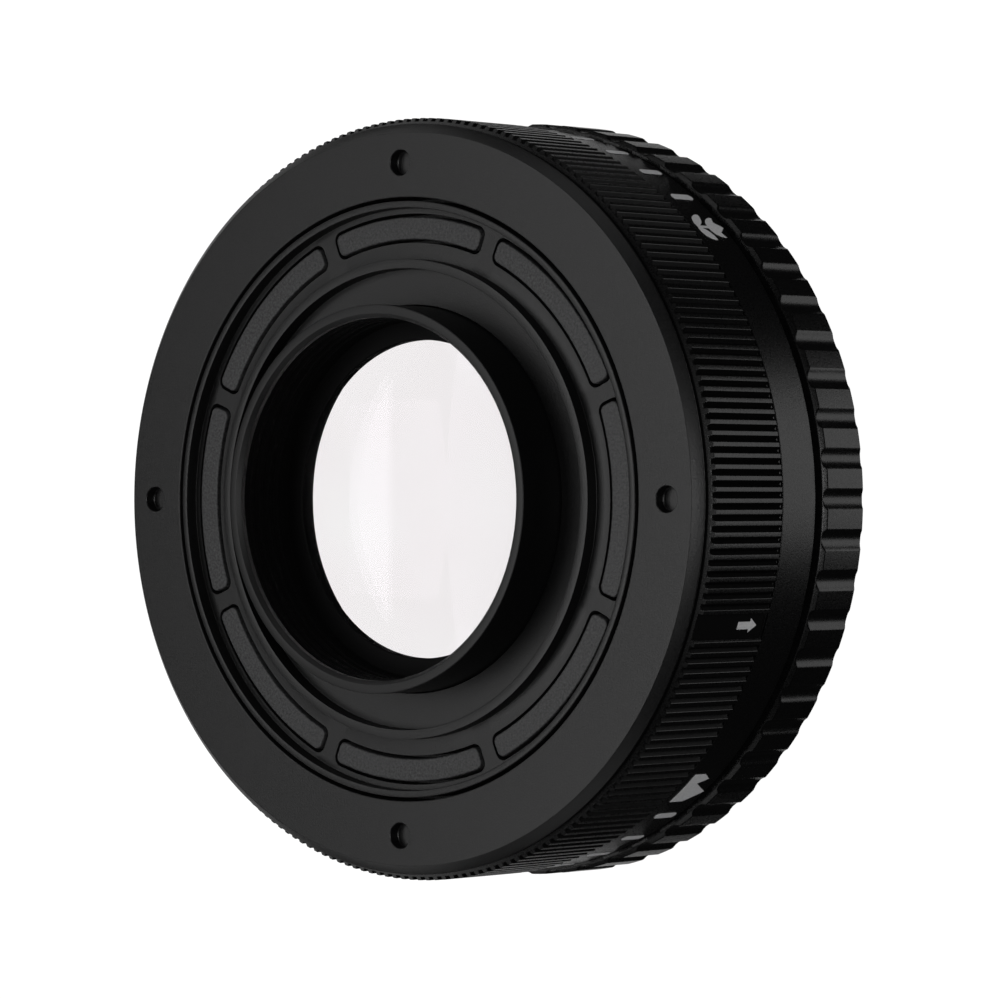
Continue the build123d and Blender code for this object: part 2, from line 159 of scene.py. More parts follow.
# Painted marks
TICK_COUNT = 36
MARKS_Z = BAND_FRONT + 1.63
ARROW_Z = 12.35
FLOWER_ANGLE = 45.2
MOUNTAIN_ANGLE = -49.1
PAINT_LIFT = 0.01
PAINT_DEPTH = 0.03

# Names of the bodies the pieces are attached to
OUTER, FOCUS, CELL = "outer_barrel", "focus_ring", "lens_cell"


# Mesh tools

def rounded(points, radius=0.035, steps=3):
    """Closed outline with its corners rounded. A point may carry its own radius as a third value."""
    out = []
    count = len(points)
    for i in range(count):
        here = np.array(points[i][:2], float)
        back = np.array(points[i - 1][:2], float) - here
        ahead = np.array(points[(i + 1) % count][:2], float) - here
        own = points[i][2] if len(points[i]) > 2 else radius
        back_len, ahead_len = np.linalg.norm(back), np.linalg.norm(ahead)
        back, ahead = back / back_len, ahead / ahead_len
        turn = math.pi - math.acos(max(-1, min(1, float(back @ ahead))))
        reach = min(own * math.tan(turn / 2), 0.45 * back_len, 0.45 * ahead_len)
        if own <= 0 or turn < 0.02:
            out.append(tuple(here))
            continue
        start, end = here + back * reach, here + ahead * reach
        for k in range(steps + 1):
            t = k / steps
            out.append(tuple((1 - t) ** 2 * start + 2 * t * (1 - t) * here + t**2 * end))
    return out


def linked(name, mesh):
    obj = bpy.data.objects.new(name, mesh)
    bpy.context.scene.collection.objects.link(obj)
    return obj


def mesh_object(name, verts, faces):
    mesh = bpy.data.meshes.new(name)
    mesh.from_pydata([tuple(float(c) * MM for c in v) for v in verts], [], faces)
    bm = bmesh.new()
    bm.from_mesh(mesh)
    bmesh.ops.remove_doubles(bm, verts=bm.verts, dist=1e-8)
    bmesh.ops.recalc_face_normals(bm, faces=bm.faces)
    bm.to_mesh(mesh)
    bm.free()
    return linked(name, mesh)


def smooth(obj, angle=40.0, weighted=True):
    """Smooth faces, with hard edges where the surface turns by more than the angle."""
    bm = bmesh.new()
    bm.from_mesh(obj.data)
    for face in bm.faces:
        face.smooth = True
    for edge in bm.edges:
        if len(edge.link_faces) != 2 or edge.calc_face_angle(0.0) > math.radians(angle):
            edge.smooth = False
    bm.to_mesh(obj.data)
    bm.free()
    if weighted:
        modifier = obj.modifiers.new("even shading", "WEIGHTED_NORMAL")
        modifier.keep_sharp = True
        modifier.weight = 80
    return obj


def lathe(name, outline, segments=SEGMENTS):
    """Ring or disc turned about Z from its closed outline of (radius, height) points."""
    count = len(outline)
    angles = np.arange(segments) * 2 * math.pi / segments
    verts = [(r * math.cos(a), r * math.sin(a), z) for a in angles for r, z in outline]
    faces = []
    for i in range(segments):
        j = (i + 1) % segments
        for k in range(count):
            m = (k + 1) % count
            if outline[k][0] < 1e-9 and outline[m][0] < 1e-9:
                continue
            faces.append((i * count + k, j * count + k, j * count + m, i * count + m))
    return mesh_object(name, verts, faces)


def swept(name, angles, rows, inner):
    """Ring whose outside radius changes round it, closed by an inner outline of (radius, height) points.

    A row of the outside is its height and a radius for each angle, or one radius for them all.
    """
    columns = len(angles)
    levels = rows + [(z, r) for r, z in inner]
    verts = []
    for z, radii in levels:
        for r, a in zip(np.broadcast_to(radii, columns), angles):
            verts.append((r * math.cos(a), r * math.sin(a), z))
    faces = []
    for k in range(len(levels)):
        m = (k + 1) % len(levels)
        for i in range(columns):
            j = (i + 1) % columns
            faces.append((k * columns + i, k * columns + j, m * columns + j, m * columns + i))
    return mesh_object(name, verts, faces)


def cut(obj, cutters):
    """Takes the cutters out of obj and removes them."""
    for cutter in cutters:
        modifier = obj.modifiers.new("cut", "BOOLEAN")
        modifier.operation = "DIFFERENCE"
        modifier.solver = "EXACT"
        modifier.object = cutter
    bpy.context.view_layer.update()
    made = bpy.data.meshes.new_from_object(obj.evaluated_get(bpy.context.evaluated_depsgraph_get()))
    obj.modifiers.clear()
    obj.data = made
    for cutter in cutters:
        bpy.data.objects.remove(cutter, do_unlink=True)
    return obj


def prism(name, outlines):
    """Solid through a stack of like outlines, each a height and its points."""
    count = len(outlines[0][1])
    verts = [(x, y, z) for z, points in outlines for x, y in points]
    faces = [tuple(range(count)), tuple(range((len(outlines) - 1) * count, len(outlines) * count))]
    for k in range(len(outlines) - 1):
        for i in range(count):
            j = (i + 1) % count
            faces.append((k * count + i, k * count + j, (k + 1) * count + j, (k + 1) * count + i))
    return mesh_object(name, verts, faces)


def sector(inner_r, outer_r, half_angle, corner, middle, steps=28, corner_steps=6):
    """Outline of a ring sector with four round corners, turned to its middle angle."""
    half = math.radians(half_angle)
    points = []
    for r, inward, sides in ((outer_r, -1, (-1, 1)), (inner_r, 1, (1, -1))):
        centre_r = r + inward * corner
        lean = math.asin(corner / centre_r)
        for place, side in enumerate(sides):
            centre_a = side * (half - lean)
            to_end = side * (half + math.pi / 2)
            to_arc = centre_a if inward < 0 else centre_a + math.pi
            if abs(to_end - to_arc) > math.pi:
                to_end += 2 * math.pi
            start, stop = (to_end, to_arc) if place == 0 else (to_arc, to_end)
            for a in np.linspace(start, stop, corner_steps + 1):
                x = centre_r * math.cos(centre_a) + corner * math.cos(a)
                y = centre_r * math.sin(centre_a) + corner * math.sin(a)
                points.append((x, y))
            if place == 0:
                between = np.linspace(centre_a, -centre_a, steps)[1:-1]
                points += [(r * math.cos(a), r * math.sin(a)) for a in between]
    turn = math.radians(middle)
    c, s = math.cos(turn), math.sin(turn)
    return [(x * c - y * s, x * s + y * c) for x, y in points]


def dome(edge_r, edge_z, curve_r, way, steps=36):
    """Points of a round glass face from its edge to the axis."""
    points = []
    for k in range(steps + 1):
        r = edge_r * (1 - k / steps)
        rise = math.sqrt(curve_r**2 - r**2) - math.sqrt(curve_r**2 - edge_r**2)
        points.append((r, edge_z + way * rise))
    return points


def moved_out(obj, radius, angle):
    """Moves a piece from the axis to a place given by radius and angle."""
    turn = math.radians(angle)
    place = (radius * MM * math.cos(turn), radius * MM * math.sin(turn), 0)
    obj.data.transform(Matrix.Translation(place))
    return obj


# Material tools

def new_material(name):
    material = bpy.data.materials.new(name)
    material.use_nodes = True
    nodes, links = material.node_tree.nodes, material.node_tree.links
    return material, nodes, links, nodes["Principled BSDF"]


def ramp(nodes, links, source, stops):
    node = nodes.new("ShaderNodeValToRGB")
    node.color_ramp.elements[0].position = stops[0][0]
    node.color_ramp.elements[0].color = (*stops[0][1], 1)
    node.color_ramp.elements[1].position = stops[-1][0]
    node.color_ramp.elements[1].color = (*stops[-1][1], 1)
    for position, color in stops[1:-1]:
        node.color_ramp.elements.new(position).color = (*color, 1)
    links.new(source, node.inputs["Fac"])
    return node.outputs["Color"]


def noise(nodes, links, coordinates, scale, detail=3.0, roughness=0.55):
    node = nodes.new("ShaderNodeTexNoise")
    node.inputs["Scale"].default_value = scale
    node.inputs["Detail"].default_value = detail
    node.inputs["Roughness"].default_value = roughness
    links.new(coordinates, node.inputs["Vector"])
    return node.outputs["Fac"]


def maths(nodes, links, operation, first, second=None):
    """Output of a math node between sockets. The second input may be a number."""
    node = nodes.new("ShaderNodeMath")
    node.operation = operation
    links.new(first, node.inputs[0])
    if isinstance(second, float):
        node.inputs[1].default_value = second
    elif second is not None:
        links.new(second, node.inputs[1])
    return node.outputs[0]


def relief(nodes, links, shader, source, strength, depth):
    node = nodes.new("ShaderNodeBump")
    node.inputs["Strength"].default_value = strength
    node.inputs["Distance"].default_value = depth * MM
    links.new(source, node.inputs["Height"])
    links.new(node.outputs["Normal"], shader.inputs["Normal"])


def emission(nodes, strength):
    node = nodes.new("ShaderNodeEmission")
    node.inputs["Color"].default_value = (1, 1, 1, 1)
    node.inputs["Strength"].default_value = strength
    return node.outputs[0]


def grey(level, blue):
    """Colour with equal red and green, and its own blue."""
    return (level, level, blue)


def blasted(name, dark, light, rough, grain, bump, shine=0.25):
    """Bead-blasted, anodised aluminium: a fine grain in colour, gloss and height."""
    material, nodes, links, shader = new_material(name)
    where = nodes.new("ShaderNodeTexCoord").outputs["Object"]
    fine = noise(nodes, links, where, 1 / (grain * MM), 4.0, 0.6)
    links.new(ramp(nodes, links, fine, [(0.32, dark), (0.72, light)]), shader.inputs["Base Color"])
    gloss = nodes.new("ShaderNodeMapRange")
    gloss.inputs["From Min"].default_value = 0.25
    gloss.inputs["From Max"].default_value = 0.75
    gloss.inputs["To Min"].default_value = rough - 0.08
    gloss.inputs["To Max"].default_value = rough + 0.09
    links.new(fine, gloss.inputs["Value"])
    links.new(gloss.outputs["Result"], shader.inputs["Roughness"])
    relief(nodes, links, shader, fine, 0.5, bump)
    shader.inputs["Specular IOR Level"].default_value = shine
    return material


def machined(name, dark, light, rough, pitch=0.05, bump=0.0015, shine=0.25):
    """Metal that shows the fine rings of the turning tool."""
    material, nodes, links, shader = new_material(name)
    where = nodes.new("ShaderNodeTexCoord").outputs["Object"]
    split = nodes.new("ShaderNodeSeparateXYZ")
    links.new(where, split.inputs["Vector"])
    squares = [maths(nodes, links, "MULTIPLY", split.outputs[axis], split.outputs[axis]) for axis in "XY"]
    radius = maths(nodes, links, "SQRT", maths(nodes, links, "ADD", squares[0], squares[1]))
    both = nodes.new("ShaderNodeCombineXYZ")
    links.new(radius, both.inputs["X"])
    links.new(split.outputs["Z"], both.inputs["Y"])
    rings = noise(nodes, links, both.outputs["Vector"], 1 / (pitch * MM), 2.0, 0.5)
    grain = noise(nodes, links, where, 1 / (0.14 * MM), 3.0)
    mixed = maths(nodes, links, "MULTIPLY", maths(nodes, links, "ADD", rings, grain), 0.5)
    links.new(ramp(nodes, links, mixed, [(0.35, dark), (0.68, light)]), shader.inputs["Base Color"])
    shader.inputs["Roughness"].default_value = rough
    shader.inputs["Specular IOR Level"].default_value = shine
    relief(nodes, links, shader, mixed, 0.5, bump)
    return material


def coated_glass(name, tint):
    """Polished glass with a coating that takes most of its reflections away."""
    material, nodes, links, shader = new_material(name)
    where = nodes.new("ShaderNodeTexCoord").outputs["Object"]
    cloud = noise(nodes, links, where, 1 / (9 * MM), 1.0)
    stops = [(0.3, tint), (0.7, (1.0, 0.995, 0.998))]
    links.new(ramp(nodes, links, cloud, stops), shader.inputs["Base Color"])
    shader.inputs["Transmission Weight"].default_value = 1.0
    shader.inputs["Roughness"].default_value = 0.0
    shader.inputs["IOR"].default_value = 1.52
    shader.inputs["Specular Tint"].default_value = (0.06, 0.05, 0.07, 1)
    return material


def paint(name, color):
    """Matt white paint with a slight mottle."""
    material, nodes, links, shader = new_material(name)
    where = nodes.new("ShaderNodeTexCoord").outputs["Object"]
    mottle = noise(nodes, links, where, 1 / (0.12 * MM), 3.0)
    low = tuple(c * 0.82 for c in color)
    links.new(ramp(nodes, links, mottle, [(0.3, low), (0.62, color)]), shader.inputs["Base Color"])
    shader.inputs["Roughness"].default_value = 0.6
    relief(nodes, links, shader, mottle, 0.3, 0.01)
    return material


# Materials. A coat or metal is given by its darkest and its lightest colour

face_black = blasted(
    "blasted black face", grey(0.0020, 0.0021), grey(0.0060, 0.0062), rough=0.38, grain=0.13, bump=0.020)
side_black = blasted(
    "blasted black side", grey(0.0015, 0.0016), grey(0.0035, 0.0037), rough=0.29, grain=0.13, bump=0.016)
turned_black = machined(
    "turned black", grey(0.0015, 0.0016), grey(0.0035, 0.0037), rough=0.46)
inner_black = machined(
    "matt black inside", grey(0.0015, 0.0016), grey(0.0025, 0.0027), rough=0.70, shine=0.08)
# Darker, duller black for the faces in the knurl's grooves: painted shade standing in for the shadow the
# ridges cast into them
painted_groove_shade = blasted(
    "painted shade in the grooves", grey(0.0010, 0.0011), grey(0.0022, 0.0023), rough=0.5, grain=0.13, bump=0.010,
    shine=0.06)
edge_black = blasted(
    "blackened glass edge", grey(0.003, 0.003), grey(0.006, 0.006), rough=0.7, grain=0.2, bump=0.01)
pad_grey = blasted(
    "grainy magnet coat", grey(0.006, 0.0064), grey(0.050, 0.051), rough=0.45, grain=0.18, bump=0.050)
steel = machined("ground steel", grey(0.42, 0.44), grey(0.56, 0.58), rough=0.3, pitch=0.03, bump=0.012)
steel.node_tree.nodes["Principled BSDF"].inputs["Metallic"].default_value = 1.0
white = paint("white paint", grey(0.70, 0.71))
rear_glass = coated_glass("coated rear glass", (0.985, 0.966, 0.974))
front_glass = coated_glass("coated front glass", (0.99, 0.985, 0.985))


def dress(obj, node, body, material, extra=None):
    """Puts a finished piece in the place of its CAD node."""
    obj.data.materials.clear()
    obj.data.materials.append(material)
    if extra is not None:
        obj.data.materials.append(extra)
    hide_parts(node)
    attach(obj, body)


def use_extra(obj, chosen):
    """Gives a piece's extra material to the faces chosen by the radius and height of their middle."""
    for face in obj.data.polygons:
        x, y, z = face.center / MM
        if chosen(math.hypot(x, y), z):
            face.material_index = 1


# Knurled barrel

def knurl_columns():
    """Angles and radii of the straight part of the knurl, with the flat patch for the arrow."""
    pitch = 360 / KNURL_COUNT
    # Share of the pitch and height above the groove: flank, round shoulder, flat top and the same back
    shape = [(0.000, 0.000), (0.275, 0.232), (0.300, 0.252), (0.330, 0.260), (0.500, 0.260),
             (0.670, 0.260), (0.700, 0.252), (0.725, 0.232)]
    low = INDEX_ANGLE - PATCH_HALF
    high = INDEX_ANGLE + PATCH_HALF
    full = []
    for k in range(KNURL_COUNT):
        for share, height in shape:
            angle = (KNURL_PHASE + (k + share) * pitch + 180) % 360 - 180
            full.append((angle, KNURL_CORE_R + height))
    full.sort()
    angles = [a for a, r in full]
    radii = [r for a, r in full]

    def ridge(angle):
        return float(np.interp(angle, angles, radii, period=360))

    # The patch takes the place of the ridges it crosses, with a steep side at each end, in degrees
    clear, seam = 0.010, 0.012
    kept = [(a, r) for a, r in full if not low - clear < a < high + clear]
    steps = 16
    for k in range(steps + 1):
        angle = low + (high - low) * k / steps
        flat = PATCH_R / math.cos(math.radians(angle - INDEX_ANGLE))
        kept.append((angle, min(flat, ridge(angle))))
    kept += [(low - seam, ridge(low)), (high + seam, ridge(high))]
    kept.sort()
    return np.radians([a for a, r in kept]), np.array([r for a, r in kept])


def knurled_barrel():
    angles, radii = knurl_columns()
    rows = [
        (BARREL_FRONT, KNURL_CORE_R - BROKEN_EDGE),
        (BARREL_FRONT + BROKEN_EDGE, KNURL_CORE_R),
        (KNURL_FRONT - 0.01, KNURL_CORE_R),
        (KNURL_FRONT, np.minimum(radii, KNURL_R - BROKEN_EDGE)),
        (KNURL_FRONT + BROKEN_EDGE, radii),
    ]
    # Rear chamfer: a row at each depth where it meets one of the knurl's own radii
    chamfer_rise, chamfer_depth = 0.30, 0.49
    chamfer_z = BARREL_REAR - chamfer_rise
    slope = chamfer_rise / chamfer_depth
    for depth in (0.0, 0.008, 0.025, 0.08, 0.14, 0.20, 0.26, 0.31, 0.38, 0.45):
        rows.append((chamfer_z + slope * depth, np.minimum(radii, KNURL_R - depth)))
    rows.append((BARREL_REAR, KNURL_R - 0.50))
    inner = [
        (BARREL_BORE_R, BARREL_REAR), (BARREL_BORE_R, CARRIER_SEAT), (RETAINER_BAY_R, CARRIER_SEAT),
        (RETAINER_BAY_R, RIB_TOP), (SLEEVE_BORE_R, RIB_TOP), (SLEEVE_BORE_R, BARREL_FRONT),
    ]
    obj = smooth(swept("barrel_knurled_skin", angles, rows, inner), 32.0)
    dress(obj, "knurled_barrel", OUTER, side_black, painted_groove_shade)

    def in_groove(r, z):
        """Faces in the knurl's grooves, which take the darker, duller black as painted shade."""
        chamfer_r = KNURL_R - (z - chamfer_z) / slope
        return r < min(KNURL_CORE_R + 0.15, chamfer_r - 0.015) and z > KNURL_FRONT - 0.02

    use_extra(obj, in_groove)


knurled_barrel()


# Scalloped grip ring

def flute_columns():
    """Angles and radii of the straight part of the grip ring."""
    pitch = 360 / FLUTE_COUNT
    centre_r = GRIP_R - FLUTE_DEPTH + FLUTE_R
    meet = math.degrees(math.acos((GRIP_R**2 + centre_r**2 - FLUTE_R**2) / (2 * GRIP_R * centre_r)))
    inside = [-meet + 0.10, -0.80 * meet, -0.5 * meet, -0.25 * meet, 0.0]
    inside += [-a for a in reversed(inside[:-1])]
    shape = []
    for a in inside:
        # Radius at which a line from the axis meets the flute
        along, across = centre_r * math.cos(math.radians(a)), centre_r * math.sin(math.radians(a))
        shape.append((a, along - math.sqrt(FLUTE_R**2 - across**2)))
    # Crest between two flutes, rounded at both ends
    shoulder = [(0.03, 0.022), (0.11, 0.006), (0.20, 0.0)]
    shape += [(meet + a, GRIP_R - drop) for a, drop in shoulder]
    shape.append((pitch / 2, GRIP_R))
    shape += [(pitch - meet - a, GRIP_R - drop) for a, drop in shoulder]
    pairs = sorted((k * pitch + a, r) for k in range(FLUTE_COUNT) for a, r in shape)
    return np.radians([a for a, r in pairs]), np.array([r for a, r in pairs])


def grip_ring():
    angles, radii = flute_columns()
    # Front edge and front chamfer, which the flutes cut
    chamfer_rise, chamfer_depth = 0.45, 0.57
    front_r = GRIP_R - chamfer_depth
    slope = chamfer_rise / chamfer_depth
    rows = [(z, front_r + step) for z, step in ((0.0, -0.05), (0.012, -0.015), (0.035, 0.04))]
    for step in (0.12, 0.22, 0.30, 0.38, 0.46, 0.53):
        rows.append((slope * step, np.minimum(radii, front_r + step)))
    rows += [(0.47, np.minimum(radii, GRIP_R - 0.008)), (0.52, radii), (2.6, radii)]
    # Rear end with its rounded chamfer
    rows.append((GRIP_REAR - 0.34, radii))
    for below, depth in ((0.295, 0.010), (0.25, 0.05), (0.18, 0.12), (0.11, 0.19), (0.05, 0.25)):
        rows.append((GRIP_REAR - below, np.minimum(radii, GRIP_R - depth)))
    rows += [(GRIP_REAR - 0.012, GRIP_R - 0.30), (GRIP_REAR, GRIP_R - 0.345)]
    inner = [
        (GRIP_BORE_R, GRIP_REAR), (GRIP_BORE_R, GRIP_LIP_TOP), (GRIP_HOLE_R, GRIP_LIP_TOP),
        (GRIP_HOLE_R, 0.04), (GRIP_HOLE_R + 0.04, 0.0),
    ]
    obj = smooth(swept("grip_scalloped_skin", angles, rows, inner), 36.0)
    dress(obj, "focus_grip", FOCUS, side_black)


grip_ring()


# Focus barrel with the smooth scale band

def focus_barrel():
    outline = rounded([
        (FILTER_THREAD_R, SPIGOT_FRONT), (SPIGOT_R, SPIGOT_FRONT), (SPIGOT_R, GRIP_REAR),
        (NECK_R, GRIP_REAR), (NECK_R, BAND_FRONT, 0.06), (BAND_R, BAND_FRONT, 0.10),
        (BAND_R, BAND_REAR, 0.06), (SLEEVE_R, BAND_REAR), (SLEEVE_R, RETAINER_FRONT),
        (RETAINER_THREAD_R, RETAINER_FRONT), (RETAINER_THREAD_R, RETAINER_REAR),
        (HELICOID_BORE_R, RETAINER_REAR), (HELICOID_BORE_R, BAFFLE_SEAT), (HOOD_R, BAFFLE_SEAT),
        (HOOD_R, FRONT_LENS_SEAT), (FRONT_LENS_BORE_R, FRONT_LENS_SEAT),
        (FRONT_LENS_BORE_R, FRONT_RING_REAR), (FRONT_RING_THREAD_R, FRONT_RING_REAR),
        (FRONT_RING_THREAD_R, FRONT_RING_FRONT), (FILTER_THREAD_R, FRONT_RING_FRONT),
    ])
    obj = smooth(lathe("focus_barrel_skin", outline))
    dress(obj, "focus_barrel", FOCUS, side_black)


focus_barrel()


# Rear lock ring with its blind spanner holes

def lock_ring():
    side, chamfer = 0.12, 0.63
    outline = rounded([
        (LOCK_BORE_R, LOCK_SEAT), (LOCK_SPIGOT_R, LOCK_SEAT), (LOCK_SPIGOT_R, LOCK_UNDER, 0.03),
        (LOCK_R, LOCK_UNDER, 0.03), (LOCK_R, LOCK_UNDER + side, 0.05),
        (LOCK_R - chamfer, REAR_FACE, 0.12), (LOCK_BORE_R, REAR_FACE, 0.10),
    ])
    ring = lathe("lock_ring_skin", outline)
    floor_z = REAR_FACE - SPANNER_HOLE_DEPTH
    mouth_r = SPANNER_HOLE_R + 0.055
    above = REAR_FACE + 0.4
    profile = [
        (0.0, floor_z), (SPANNER_HOLE_R - 0.07, floor_z), (SPANNER_HOLE_R, floor_z + 0.07),
        (SPANNER_HOLE_R, REAR_FACE - 0.045), (mouth_r, REAR_FACE + 0.01), (mouth_r, above), (0.0, above),
    ]
    holes = []
    for quarter in range(4):
        holes.append(moved_out(lathe("hole_cutter", profile, 64), SPANNER_CIRCLE_R, 90 * quarter))
    dress(smooth(cut(ring, holes), 38.0), "rear_lock_ring", OUTER, face_black)


lock_ring()


# Magnet carrier with its channel and pockets

def magnet_carrier():
    outline = rounded([
        (CARRIER_BORE_R, CARRIER_SEAT), (LOCK_SPIGOT_R, CARRIER_SEAT), (LOCK_SPIGOT_R, LOCK_SEAT),
        (CARRIER_R, LOCK_SEAT), (CARRIER_R, REAR_FACE, 0.09), (CHANNEL_R, REAR_FACE, 0.05),
        (CHANNEL_R, CHANNEL_FLOOR, 0.06), (CHANNEL_INNER_R, CHANNEL_FLOOR, 0.06),
        (CHANNEL_INNER_R, REAR_FACE, 0.03), (RECESS_R, REAR_FACE, 0.03),
        (RECESS_R, RECESS_FLOOR, 0.06), (CARRIER_BORE_R, RECESS_FLOOR),
    ])
    carrier = lathe("carrier_skin", outline)
    pockets = []
    for k in range(MAGNET_COUNT):
        middle = 360 / MAGNET_COUNT * k
        low = sector(POCKET_INNER_R, POCKET_OUTER_R, POCKET_HALF, POCKET_CORNER, middle)
        high = sector(
            POCKET_INNER_R - 0.03, POCKET_OUTER_R + 0.03, POCKET_HALF + 0.1, POCKET_CORNER + 0.02, middle)
        stack = [(MAGNET_FLOOR, low), (CHANNEL_FLOOR - 0.04, low)]
        stack += [(CHANNEL_FLOOR + 0.01, high), (CHANNEL_FLOOR + 0.58, high)]
        pockets.append(prism("pocket_cutter", stack))
    dress(smooth(cut(carrier, pockets), 38.0), "magnet_carrier", OUTER, face_black)


def magnets():
    """Pads with a rounded upper edge."""
    middle_r = (MAGNET_INNER_R + MAGNET_OUTER_R) / 2
    edge = ((0.15, 0.0), (0.075, 0.012), (0.03, 0.04), (0.005, 0.085), (0.0, 0.13))
    levels = [(MAGNET_FLOOR, 0.0)] + [(MAGNET_TOP - below, inset) for below, inset in edge]
    for k in range(MAGNET_COUNT):
        stack = []
        for z, inset in levels:
            half = MAGNET_HALF - math.degrees(inset / middle_r)
            corner = max(MAGNET_CORNER - inset, 0.2)
            middle = 360 / MAGNET_COUNT * k
            stack.append((z, sector(MAGNET_INNER_R + inset, MAGNET_OUTER_R - inset, half, corner, middle)))
        pad = smooth(prism(f"magnet_pad_{k + 1}", stack), 35.0)
        dress(pad, f"mount_magnet_{k + 1}", OUTER, pad_grey)


magnet_carrier()
magnets()


# Lens tube

def lens_tube():
    lip_top, lip_under = 20.90, 20.53
    bore = [
        (TUBE_BORE_R - 0.02, TUBE_TOP, 0.03), (BAFFLE_RIDGE_R, lip_top, 0.03),
        (BAFFLE_RIDGE_R, lip_under, 0.02), (TUBE_BORE_R, lip_under, 0.02),
    ]
    for k in range(RIDGE_COUNT):
        crest = FIRST_RIDGE - RIDGE_PITCH * k
        under = crest - RIDGE_WIDTH
        bore += [(TUBE_BORE_R, crest, 0.02), (BAFFLE_RIDGE_R, crest, 0.015), (BAFFLE_RIDGE_R, under, 0.015)]
        if k < RIDGE_COUNT - 1:
            bore.append((TUBE_BORE_R, under, 0.03))
    tube = lathe("tube_skin", rounded(bore + [
        (BAFFLE_RIDGE_R, CELL_SHOULDER_REAR), (CELL_HOLE_R, CELL_SHOULDER_REAR),
        (CELL_HOLE_R, CELL_SHOULDER_FRONT), (FRONT_CELL_BORE_R, CELL_SHOULDER_FRONT),
        (FRONT_CELL_BORE_R, FRONT_CELL), (FRONT_CELL_R, FRONT_CELL), (FRONT_CELL_R, FLANGE_FRONT),
        (HELICOID_R, FLANGE_FRONT), (HELICOID_R, FLANGE_REAR), (TUBE_R, FLANGE_REAR),
        (TUBE_R, TUBE_TOP, 0.10),
    ]))
    profile = [(0.0, 11.0), (PIN_HOLE_R, 11.0), (PIN_HOLE_R, 14.0), (0.0, 14.0)]
    holes = []
    for k in range(PIN_HOLE_COUNT):
        angle = 30 + 360 / PIN_HOLE_COUNT * k
        holes.append(moved_out(lathe("pin_cutter", profile, 48), PIN_CIRCLE_R, angle))
    dress(smooth(cut(tube, holes), 38.0), "lens_tube", CELL, turned_black, inner_black)
    use_extra(tube, lambda r, z: r < TUBE_BORE_R + 0.05 and z < lip_top - 0.20)


lens_tube()


# Threaded rings that hold the glasses

def slot_cutters(inner_r, outer_r, z, turn=0):
    half_width, half_depth = 0.60, 0.45
    made = []
    for way in (1, -1):
        a, b, c = way * (inner_r - 1), way * (outer_r + 1), way * half_width
        points = [(a, -c), (b, -c), (b, c), (a, c)]
        slot = prism("slot_cutter", [(z - half_depth, points), (z + half_depth, points)])
        slot.data.transform(Matrix.Rotation(math.radians(turn), 4, "Z"))
        made.append(slot)
    return made


def threaded_rings():
    rear = lathe("rear_ring_skin", rounded([
        (REAR_RING_HOLE_R, REAR_RING_FRONT), (REAR_LENS_R, REAR_RING_FRONT), (REAR_LENS_R, REAR_RING_REAR),
        (REAR_RING_HOLE_R + 0.08, REAR_RING_REAR, 0.02), (REAR_RING_HOLE_R, REAR_RING_REAR - 0.08, 0.02),
    ]))
    dress(smooth(rear), "rear_lens_ring", CELL, inner_black)
    inner = lathe("inner_ring_skin", rounded([
        (INNER_RING_HOLE_R, INNER_RING_FRONT), (INNER_LENS_R, INNER_RING_FRONT),
        (INNER_LENS_R, INNER_RING_REAR), (INNER_RING_HOLE_R, INNER_RING_REAR),
    ]))
    slots = slot_cutters(INNER_RING_HOLE_R, INNER_LENS_R, INNER_RING_FRONT, 90)
    dress(smooth(cut(inner, slots)), "inner_lens_ring", CELL, inner_black)
    front = lathe("front_ring_skin", rounded([
        (FRONT_RING_MOUTH_R, FRONT_RING_FRONT), (FRONT_RING_R, FRONT_RING_FRONT),
        (FRONT_RING_R, FRONT_RING_REAR), (FRONT_RING_HOLE_R, FRONT_RING_REAR),
        (FRONT_RING_HOLE_R, FRONT_RING_FRONT + 0.50),
    ]))
    slots = slot_cutters(FRONT_RING_HOLE_R, FRONT_RING_R, FRONT_RING_FRONT)
    dress(smooth(cut(front, slots)), "front_lens_ring", FOCUS, turned_black)


threaded_rings()


# Glasses, with blackened edges

def glass(name, outline, clear_r, node, body, material):
    """Glass whose edge outside the clear radius is black."""
    obj = smooth(lathe(name, outline, 240), 12.0, weighted=False)
    dress(obj, node, body, material, edge_black)
    use_extra(obj, lambda r, z: r > clear_r)


def glasses():
    gap = 0.01
    under_ring = REAR_RING_FRONT - gap
    rear = [(r, CELL_SHOULDER_REAR) for r in (0.0, 6.0, CELL_HOLE_R, REAR_LENS_R)]
    rear += [(REAR_LENS_R, under_ring)] + dome(REAR_RING_HOLE_R, under_ring, 100.0, 1)
    glass("rear_glass_skin", rear, CELL_HOLE_R + 0.01, "rear_lens", CELL, rear_glass)
    over_ring = INNER_RING_REAR + gap
    inner = [(r, CELL_SHOULDER_FRONT) for r in (0.0, 6.0, INNER_RING_HOLE_R, INNER_LENS_R)]
    inner += [(INNER_LENS_R, over_ring)] + dome(INNER_RING_HOLE_R, over_ring, 60.0, -1)
    glass("inner_glass_skin", inner, INNER_RING_HOLE_R + 0.02, "inner_lens", CELL, rear_glass)
    over_ring = FRONT_RING_REAR + gap
    front = list(reversed(dome(HOOD_R, FRONT_LENS_SEAT, 110.0, -1)))
    front += [(FRONT_LENS_R, FRONT_LENS_SEAT), (FRONT_LENS_R, over_ring)]
    front += dome(FRONT_RING_HOLE_R, over_ring, 75.0, -1)
    glass("front_glass_skin", front, HOOD_R + 0.02, "front_lens", FOCUS, front_glass)


glasses()


# Painted marks

def wrapped(point, turn, radius, z):
    """Place on the round scale band of a point of paint, whose third value is its height above the band."""
    a = turn - math.asin(max(-1, min(1, point.x / radius)))
    return Vector(((radius + point.z) * math.cos(a), (radius + point.z) * math.sin(a), z - point.y))


